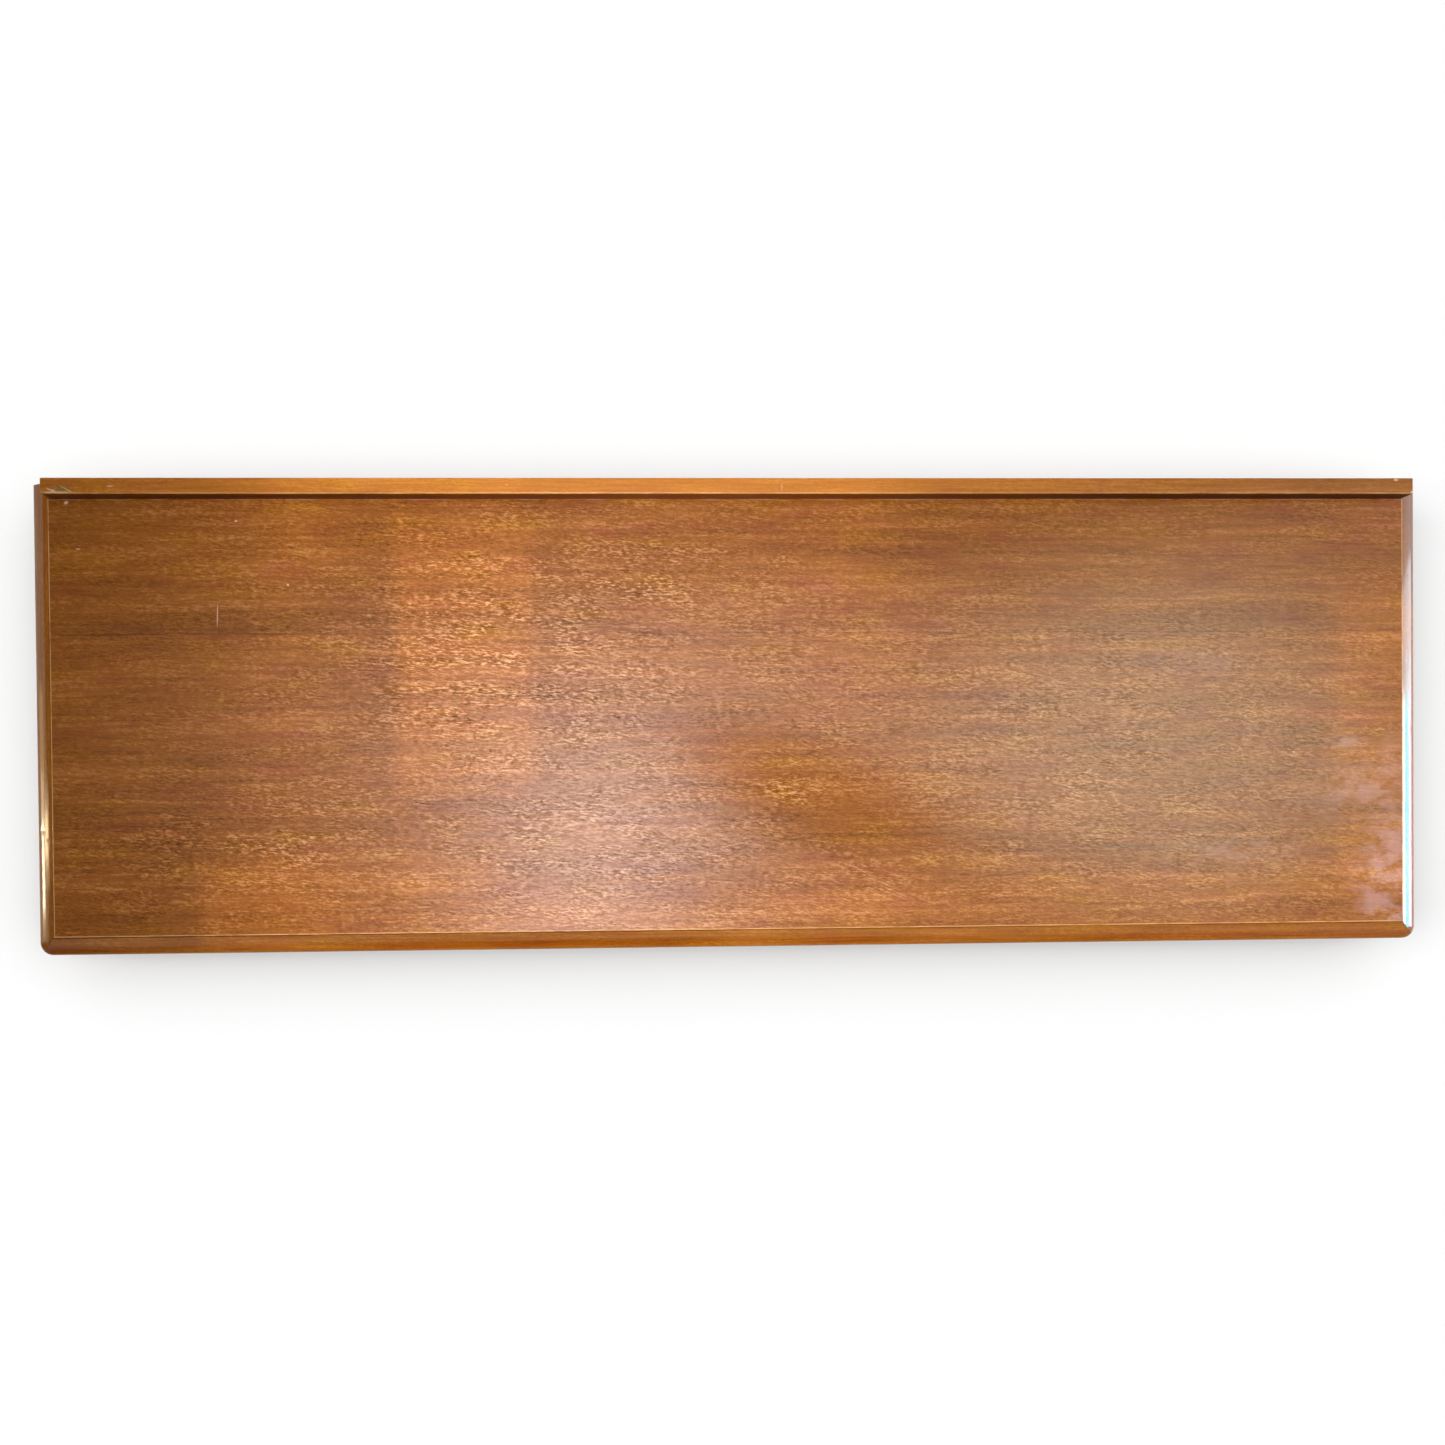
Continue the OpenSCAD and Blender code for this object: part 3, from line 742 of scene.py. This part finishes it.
def railSection():
    # closed outline in Y and Z, starting at the front foot
    r = rail["arris"]
    front, back, foot, top = railLow.y, railHigh.y, railLow.z, railHigh.z
    outline = [(front, foot + (top - r - foot) * i / 6) for i in range(7)]
    outline += [(front + r * (1 - math.cos(a)), top - r * (1 - math.sin(a)))
                for a in [math.pi / 2 * i / 6 for i in range(1, 7)]]
    outline += [(front + r + (back - front - 2 * r) * i / 16, top) for i in range(1, 17)]
    outline += [(back - r * (1 - math.sin(a)), top - r * (1 - math.cos(a)))
                for a in [math.pi / 2 * i / 6 for i in range(1, 7)]]
    outline += [(back, top - r + (foot - top + r) * i / 4) for i in range(1, 5)]
    outline += [((front + back) / 2, foot)]
    return outline


def makeRail(material):
    spec = rail
    outline = railSection()
    length = railHigh.x - railLow.x
    near = [0, 0.1, 0.25, 0.5] + [1 + 0.5 * i for i in range(50)]
    starts = [v * mm for v in near]
    count = round((length - starts[-1] - 3 * mm) / spec["rowGap"])
    middle = [starts[-1] + (length - starts[-1] - 3 * mm) * i / count for i in range(1, count + 1)]
    ends = [length - v * mm for v in (2, 1, 0.5, 0.25, 0.1, 0)]
    rows = starts + middle + ends
    midY, midZ = (railLow.y + railHigh.y) / 2, (railLow.z + railHigh.z) / 2
    points, faces = [], []
    for along in rows:
        fromEnd = min(along, length - along)
        shrink = 0.0
        if fromEnd < spec["endSoft"]:
            shrink = spec["endSoft"] - math.sqrt(spec["endSoft"] ** 2 - (spec["endSoft"] - fromEnd) ** 2)
        for y, z in outline:
            place = Vector((railLow.x + along, y, z))
            if z > railLow.z:
                place.y += shrink * (1 if y < midY else -1)
                place.z -= shrink * (1 if z > midZ else 0)
                wave = spec["wave"] * (0.5 + 0.5 * noise.noise(place / spec["waveSize"]))
                place.z -= wave if z > midZ else 0.0
                place.y += wave * (1 if y < midY else -1)
            # the broken front arris near the left end
            ragged = noise.noise(Vector((along / spec["raggedSize"][0], y / spec["raggedSize"][1], 2.0)))
            away = chipShape(railLow.x + along, y) + spec["ragged"] * ragged
            if away < 1.0 and z > midZ:
                place.z -= spec["chipDepth"] * (1 - away ** 2) ** 0.6
            points.append(place)
    size, total = len(outline), len(rows)
    for i in range(total - 1):
        for j in range(size):
            a, b = i * size + j, i * size + (j + 1) % size
            faces.append((a, a + size, b + size, b))
    faces.append(tuple(range(size)))
    faces.append(tuple((total - 1) * size + j for j in range(size - 1, -1, -1)))
    return meshObject("backRailStrip", points, faces, material)


veneer = makeVeneer(veneerMaterial())
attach(veneer, "root")
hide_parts("face_veneer")
print("face veneer made")

longEdge = mouldingMaterial("mouldingFront", "front", 11.0)
endEdge = mouldingMaterial("mouldingEnds", "end", 17.0)
for name, side, material, node, seed in (
        ("frontMouldedEdge", "front", longEdge, "front_moulding", 3),
        ("leftMouldedEdge", "left", endEdge, "left_moulding", 5),
        ("rightMouldedEdge", "right", endEdge, "right_moulding", 8)):
    piece = makeMoulding(name, side, material, edgeDents(seed, 16 if side == "front" else 7, side))
    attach(piece, "root")
    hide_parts(node)
print("moulded edges made")

railPiece = makeRail(railMaterial())
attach(railPiece, "root")
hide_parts("back_rail")
print("back rail made")


def steelMaterial():
    made, tree = newMaterial("screwSteel")
    place = addNode(tree, "TexCoord").outputs["Object"]
    wear = cloud(tree, place, (1.5 * mm, 1.5 * mm, 1.5 * mm), 4.0, 0.6)
    rusty = ease(tree, wear, 0.45, 0.65)
    shade = blend(tree, rusty, colour((0.42, 0.40, 0.37)), colour((0.24, 0.17, 0.12)))
    shader = addNode(tree, "BsdfPrincipled", {
        "Base Color": shade, "Metallic": 1.0, "Roughness": ease(tree, wear, 0.35, 0.7, 0.3, 0.65),
        "Normal": relief(tree, wear, 0.02 * mm)})
    finishMaterial(tree, shader.outputs[0])
    return made


# the woods underneath and inside have no varnish
plain = {"coat": 0.0, "roughness": 0.7, "lacquerDepth": 0.0, "underGloss": 0.4}
softwood = dict(plain, dark=(0.40, 0.24, 0.11), middle=(0.62, 0.44, 0.25), pale=(0.80, 0.64, 0.44),
                seed=31.0, flecks=0.06, fines=0.05, sparks=0.0, rays=0.0, figure=0.16, streaks=0.14,
                hueShift=0.3)
beech = dict(plain, dark=(0.30, 0.17, 0.09), middle=(0.54, 0.34, 0.19), pale=(0.72, 0.50, 0.32),
             seed=41.0, figureSize=(200 * mm, 12 * mm, 12 * mm), flecks=0.10, fines=0.06, sparks=0.0,
             rays=0.0, hueShift=0.3)
backing = dict(plain, roughness=0.6, seed=53.0, sparks=0.04)
finishes = {
    "crossband": woodMaterial("crossbandWood", "y", **softwood),
    "core": woodMaterial("coreWood", "x", **softwood),
    "tongue": woodMaterial("tongueWood", "x", **beech),
    "cleat": woodMaterial("cleatWood", "y", **beech),
    "backing_veneer": woodMaterial("backingVeneer", "x", **backing),
    "moulding": woodMaterial("backLipping", "x", seed=61.0, coat=0.0, roughness=0.6,
                             flecks=0.08, fines=0.07, sparks=0.04, rays=0.05),
    "screws": steelMaterial(),
}
replaced = {"face_veneer", "front_moulding", "left_moulding", "right_moulding", "back_rail"}
for part in frame["record"]["subparts"]:
    if part["node"] not in replaced:
        carried = frame["nodes"][part["node"]]
        carried.data.materials.clear()
        carried.data.materials.append(finishes[part["material_slot"]])
print("carried pieces finished")


studio = {
    "floorSize": 8.0, "floorColour": 0.5, "floorGlow": 0.002, "roomLevel": 0.03,
    # soft patches of light overhead: direction (across and along over up), reach, turn in degrees,
    # how firm the rim is, level and tint
    "glows": [
        {"at": (-0.024, -0.075), "reach": (0.124, 0.162), "turn": -5, "firm": 1.0,
         "level": 4.6, "tint": (1.0, 0.88, 0.90)},
        {"at": (0.042, 0.079), "reach": (0.306, 0.163), "turn": 0, "firm": 1.0,
         "level": 3.8, "tint": (1.0, 0.93, 0.90)},
        {"at": (0.540, 0.086), "reach": (0.220, 0.172), "turn": -7, "firm": 1.5,
         "level": 3.2, "tint": (0.97, 1.13, 0.93)},
        {"at": (0.74, 0.27), "reach": (0.16, 0.10), "turn": 0, "firm": 1.0,
         "level": 0.6, "tint": (1.0, 1.05, 0.95)},
    ],
    "gap": {"at": (0.206, 0.038), "reach": (0.140, 0.053), "turn": -23, "firm": 2.0, "depth": 0.88},
    "backLevel": 0.6, "frontLevel": 0.5,
}
# lamps that light the floor alone, so that the piece casts its shadow there: lean to the back and
# to the right, width, level
floorLamps = [
    {"name": "floorLampBack", "lean": (15, 0), "width": 120, "level": 2.83, "tint": (0.965, 1.0, 1.015)},
    {"name": "floorLampRight", "lean": (0, 55), "width": 60, "level": 1.36, "tint": (1.0, 1.0, 1.0)},
    {"name": "floorLampLeft", "lean": (0, -55), "width": 40, "level": 2.33, "tint": (1.0, 1.0, 1.0)},
]
# bright panels on both sides that show only as highlights on the varnish: limits along and up
panelDistance = 4.0
rightPanels = [
    {"name": "windowHead", "y": (-0.60, 0.42), "z": (1.70, 2.90), "level": 20.0, "tint": (0.85, 1.0, 1.0)},
    {"name": "windowMiddle", "y": (-0.60, 0.40), "z": (0.70, 1.70), "level": 14.0, "tint": (0.1, 0.80, 1.0)},
    {"name": "windowFoot", "y": (-0.60, 0.40), "z": (0.02, 0.70), "level": 13.0, "tint": (0.80, 0.62, 1.0)},
    {"name": "windowEdge", "y": (-0.60, 0.52), "z": (0.02, 2.80), "level": 8.0, "tint": (0.55, 0.85, 1.0)},
    {"name": "windowSide", "y": (-0.60, 0.85), "z": (0.02, 2.80), "level": 6.0, "tint": (0.80, 0.90, 1.0)},
    {"name": "windowFar", "y": (-0.60, 1.30), "z": (0.02, 2.80), "level": 1.6, "tint": (1.0, 0.97, 0.96)},
]
leftPanels = [
    {"name": "lowLamp", "y": (-0.33, 0.00), "z": (0.60, 1.20), "level": 20.0, "tint": (1.0, 0.90, 0.66)},
    {"name": "lowLampWide", "y": (-0.36, 0.18), "z": (0.60, 1.30), "level": 6.5, "tint": (1.0, 0.84, 0.52)},
    {"name": "lowLampFar", "y": (-0.42, 0.50), "z": (0.50, 1.40), "level": 3.0, "tint": (1.0, 0.76, 0.42)},
    {"name": "lowLampSpot", "y": (-0.14, 0.03), "z": (1.30, 2.20), "level": 20.0, "tint": (1.0, 0.8, 0.46)},
    {"name": "lowLampHigh", "y": (-0.26, 0.16), "z": (1.30, 2.40), "level": 3.5, "tint": (1.0, 0.82, 0.54)},
    {"name": "lowLampBack", "y": (-0.60, 1.40), "z": (0.02, 2.00), "level": 0.9, "tint": (0.95, 1.0, 0.80)},
]
# lamps that light the piece from straight above: left and right limits, front and back limits,
# level, softness
lampHeight = 900 * mm
lamps = [
    {"name": "broadLamp", "x": (-0.38, 0.60), "y": (-0.30, 0.30), "level": 0.27, "soft": 120 * mm},
    {"name": "leftLamp", "x": (-0.32, 0.10), "y": (-0.30, 0.30), "level": 0.20, "soft": 40 * mm},
    {"name": "rightLamp", "x": (0.10, 0.60), "y": (-0.30, 0.075), "level": 0.11, "soft": 40 * mm},
    {"name": "edgeLamp", "x": (-0.228, 0.60), "y": (-0.30, 0.30), "level": 0.11, "soft": 8 * mm},
    {"name": "middleLamp", "x": (-0.222, 0.12), "y": (-0.02, 0.12), "level": 0.09, "soft": 50 * mm},
    {"name": "bandLamp", "x": (-0.222, -0.135), "y": (-0.045, 0.120), "level": 0.30, "soft": 9 * mm},
    {"name": "backLeftLamp", "x": (-0.30, -0.14), "y": (0.102, 0.20), "level": 0.10, "soft": 16 * mm},
    {"name": "frontLeftLamp", "x": (-0.35, -0.16), "y": (-0.20, -0.094), "level": 0.26, "soft": 16 * mm},
    {"name": "frontLamp", "x": (-0.16, 0.60), "y": (-0.20, -0.102), "level": 0.20, "soft": 16 * mm},
    {"name": "endLamp", "x": (0.40, 0.60), "y": (-0.115, 0.08), "level": 0.24, "soft": 16 * mm},
]


def makeFloor():
    half = studio["floorSize"] / 2
    made, tree = newMaterial("paleFloor")
    path = addNode(tree, "LightPath").outputs
    seenRay = calc(tree, "MAXIMUM", path["Is Camera Ray"],
                   calc(tree, "MAXIMUM", path["Is Glossy Ray"], path["Is Transmission Ray"]))
    glowLevel = times(tree, seenRay, studio["floorGlow"])
    shade = addNode(tree, "BsdfDiffuse", {"Color": colour([studio["floorColour"]] * 3)}).outputs[0]
    glow = addNode(tree, "Emission", {"Color": (1, 1, 1, 1), "Strength": glowLevel}).outputs[0]
    upper = addNode(tree, "AddShader", {0: shade, 1: glow}).outputs[0]
    behind = addNode(tree, "NewGeometry").outputs["Backfacing"]
    clear = addNode(tree, "BsdfTransparent").outputs[0]
    finishMaterial(tree, addNode(tree, "MixShader", {0: behind, 1: upper, 2: clear}).outputs[0])
    corners = [(-half, -half, 0), (half, -half, 0), (half, half, 0), (-half, half, 0)]
    floor = meshObject("floor", corners, [(0, 1, 2, 3)], made, smooth=False)
    floorOnly = bpy.data.collections.new("floorOnly")
    floorOnly.objects.link(floor)
    for spec in floorLamps:
        data = bpy.data.lights.new(spec["name"], "SUN")
        data.energy, data.angle = spec["level"], math.radians(spec["width"])
        lamp = bpy.data.objects.new(spec["name"], data)
        bpy.context.scene.collection.objects.link(lamp)
        data.color = spec["tint"]
        lamp.rotation_euler = (math.radians(-spec["lean"][0]), math.radians(spec["lean"][1]), 0)
        lamp.visible_glossy = False
        lamp.light_linking.receiver_collection = floorOnly


def makeWorld():
    world = bpy.data.worlds.new("studio")
    bpy.context.scene.world = world
    world.use_nodes = True
    tree = world.node_tree
    tree.nodes.clear()
    parts = addNode(tree, "SeparateXYZ", {0: addNode(tree, "TexCoord").outputs["Generated"]}).outputs
    up = calc(tree, "MAXIMUM", parts[2], 0.02)
    overX, overY = calc(tree, "DIVIDE", parts[0], up), calc(tree, "DIVIDE", parts[1], up)
    overhead = ease(tree, parts[2], 0.1, 0.3)
    gap = gather(tree, 1.0, (softPatch(tree, overX, overY, studio["gap"]), -studio["gap"]["depth"]))
    lights = []
    for spec in studio["glows"]:
        mask = times(tree, softPatch(tree, overX, overY, spec), overhead)
        mask = times(tree, mask, gap)
        lights.append((mask, spec["level"], spec["tint"]))
    back = times(tree, ease(tree, parts[1], 0.42, 0.62), ease(tree, parts[2], 0.05, 0.35))
    lights.append((back, studio["backLevel"], (1.0, 0.98, 0.95)))
    front = times(tree, ease(tree, parts[1], -0.28, -0.48), ease(tree, parts[1], -0.80, -0.62))
    lights.append((front, studio["frontLevel"], (1.0, 0.95, 0.92)))
    room = [studio["roomLevel"]] * 3
    total = addNode(tree, "CombineXYZ", {0: room[0], 1: room[1], 2: room[2]}).outputs[0]
    for mask, level, tint in lights:
        strength = times(tree, mask, level)
        light = addNode(tree, "VectorMath", {0: tint, "Scale": strength}, operation="SCALE").outputs[0]
        total = addNode(tree, "VectorMath", {0: total, 1: light}, operation="ADD").outputs[0]
    lit = addNode(tree, "Background", {"Color": total, "Strength": 1.0}).outputs[0]
    white = addNode(tree, "Background", {"Color": (1, 1, 1, 1), "Strength": 1.0}).outputs[0]
    seen = addNode(tree, "LightPath").outputs["Is Camera Ray"]
    mixed = addNode(tree, "MixShader", {0: seen, 1: lit, 2: white}).outputs[0]
    addNode(tree, "OutputWorld", {"Surface": mixed})


def areaLamp(name, wide, deep, level, receivers):
    data = bpy.data.lights.new(name, "AREA")
    data.shape = "RECTANGLE"
    data.size, data.size_y = wide[1] - wide[0], deep[1] - deep[0]
    data.energy = level * math.pi * data.size * data.size_y
    lamp = bpy.data.objects.new(name, data)
    bpy.context.scene.collection.objects.link(lamp)
    lamp.light_linking.receiver_collection = receivers
    return lamp


def middleOf(limits):
    return (limits[0] + limits[1]) / 2


def makeLamps():
    # the lamps light the piece, not the floor around it
    lit = bpy.data.collections.new("litPieces")
    for piece in bpy.context.scene.objects:
        if piece.type == "MESH" and piece.name != "floor":
            lit.objects.link(piece)
    for spec in lamps:
        lamp = areaLamp(spec["name"], spec["x"], spec["y"], spec["level"], lit)
        lamp.data.spread = 2 * math.atan(spec["soft"] / lampHeight)
        lamp.location = (middleOf(spec["x"]), middleOf(spec["y"]), faceTop + lampHeight)
        lamp.visible_glossy = False
    for x, specs in ((panelDistance, rightPanels), (-panelDistance, leftPanels)):
        for spec in specs:
            lamp = areaLamp(spec["name"], spec["z"], spec["y"], spec["level"], lit)
            lamp.data.color = spec["tint"]
            lamp.location = (x, middleOf(spec["y"]), middleOf(spec["z"]))
            lamp.rotation_euler = (0, math.copysign(math.pi / 2, x), 0)
            lamp.visible_diffuse = False


view = {
    # place from the face's left front corner, then turns in degrees and the lens in mm
    "fromLeft": 358.0 * mm, "fromFront": 60.6 * mm, "height": 688.3 * mm,
    "turns": (0.585, 1.701, 0.576), "lens": 26.16, "sensor": 36.0, "shift": (0.0578, 0.0875),
}


def makeCamera():
    data = bpy.data.cameras.new("camera")
    camera = bpy.data.objects.new("camera", data)
    bpy.context.scene.collection.objects.link(camera)
    data.sensor_width = view["sensor"]
    data.lens = view["lens"]
    data.shift_x, data.shift_y = view["shift"]
    data.clip_start, data.clip_end = 0.05, 50.0
    tiltX, tiltY, tiltZ = (math.radians(v) for v in view["turns"])
    toCamera = Matrix.Rotation(tiltZ, 4, "Z") @ Matrix.Rotation(tiltY, 4, "Y")
    toCamera = toCamera @ Matrix.Rotation(tiltX, 4, "X")
    fromCorner = Vector((view["fromLeft"], view["fromFront"], view["height"]))
    place = Vector((faceLow.x, faceLow.y, faceTop)) + fromCorner
    camera.matrix_world = Matrix.Translation(place) @ toCamera.transposed()
    bpy.context.scene.camera = camera


makeFloor()
makeWorld()
makeLamps()
makeCamera()
bpy.context.scene.view_settings.view_transform = "Standard"
print("floor, light and camera made")
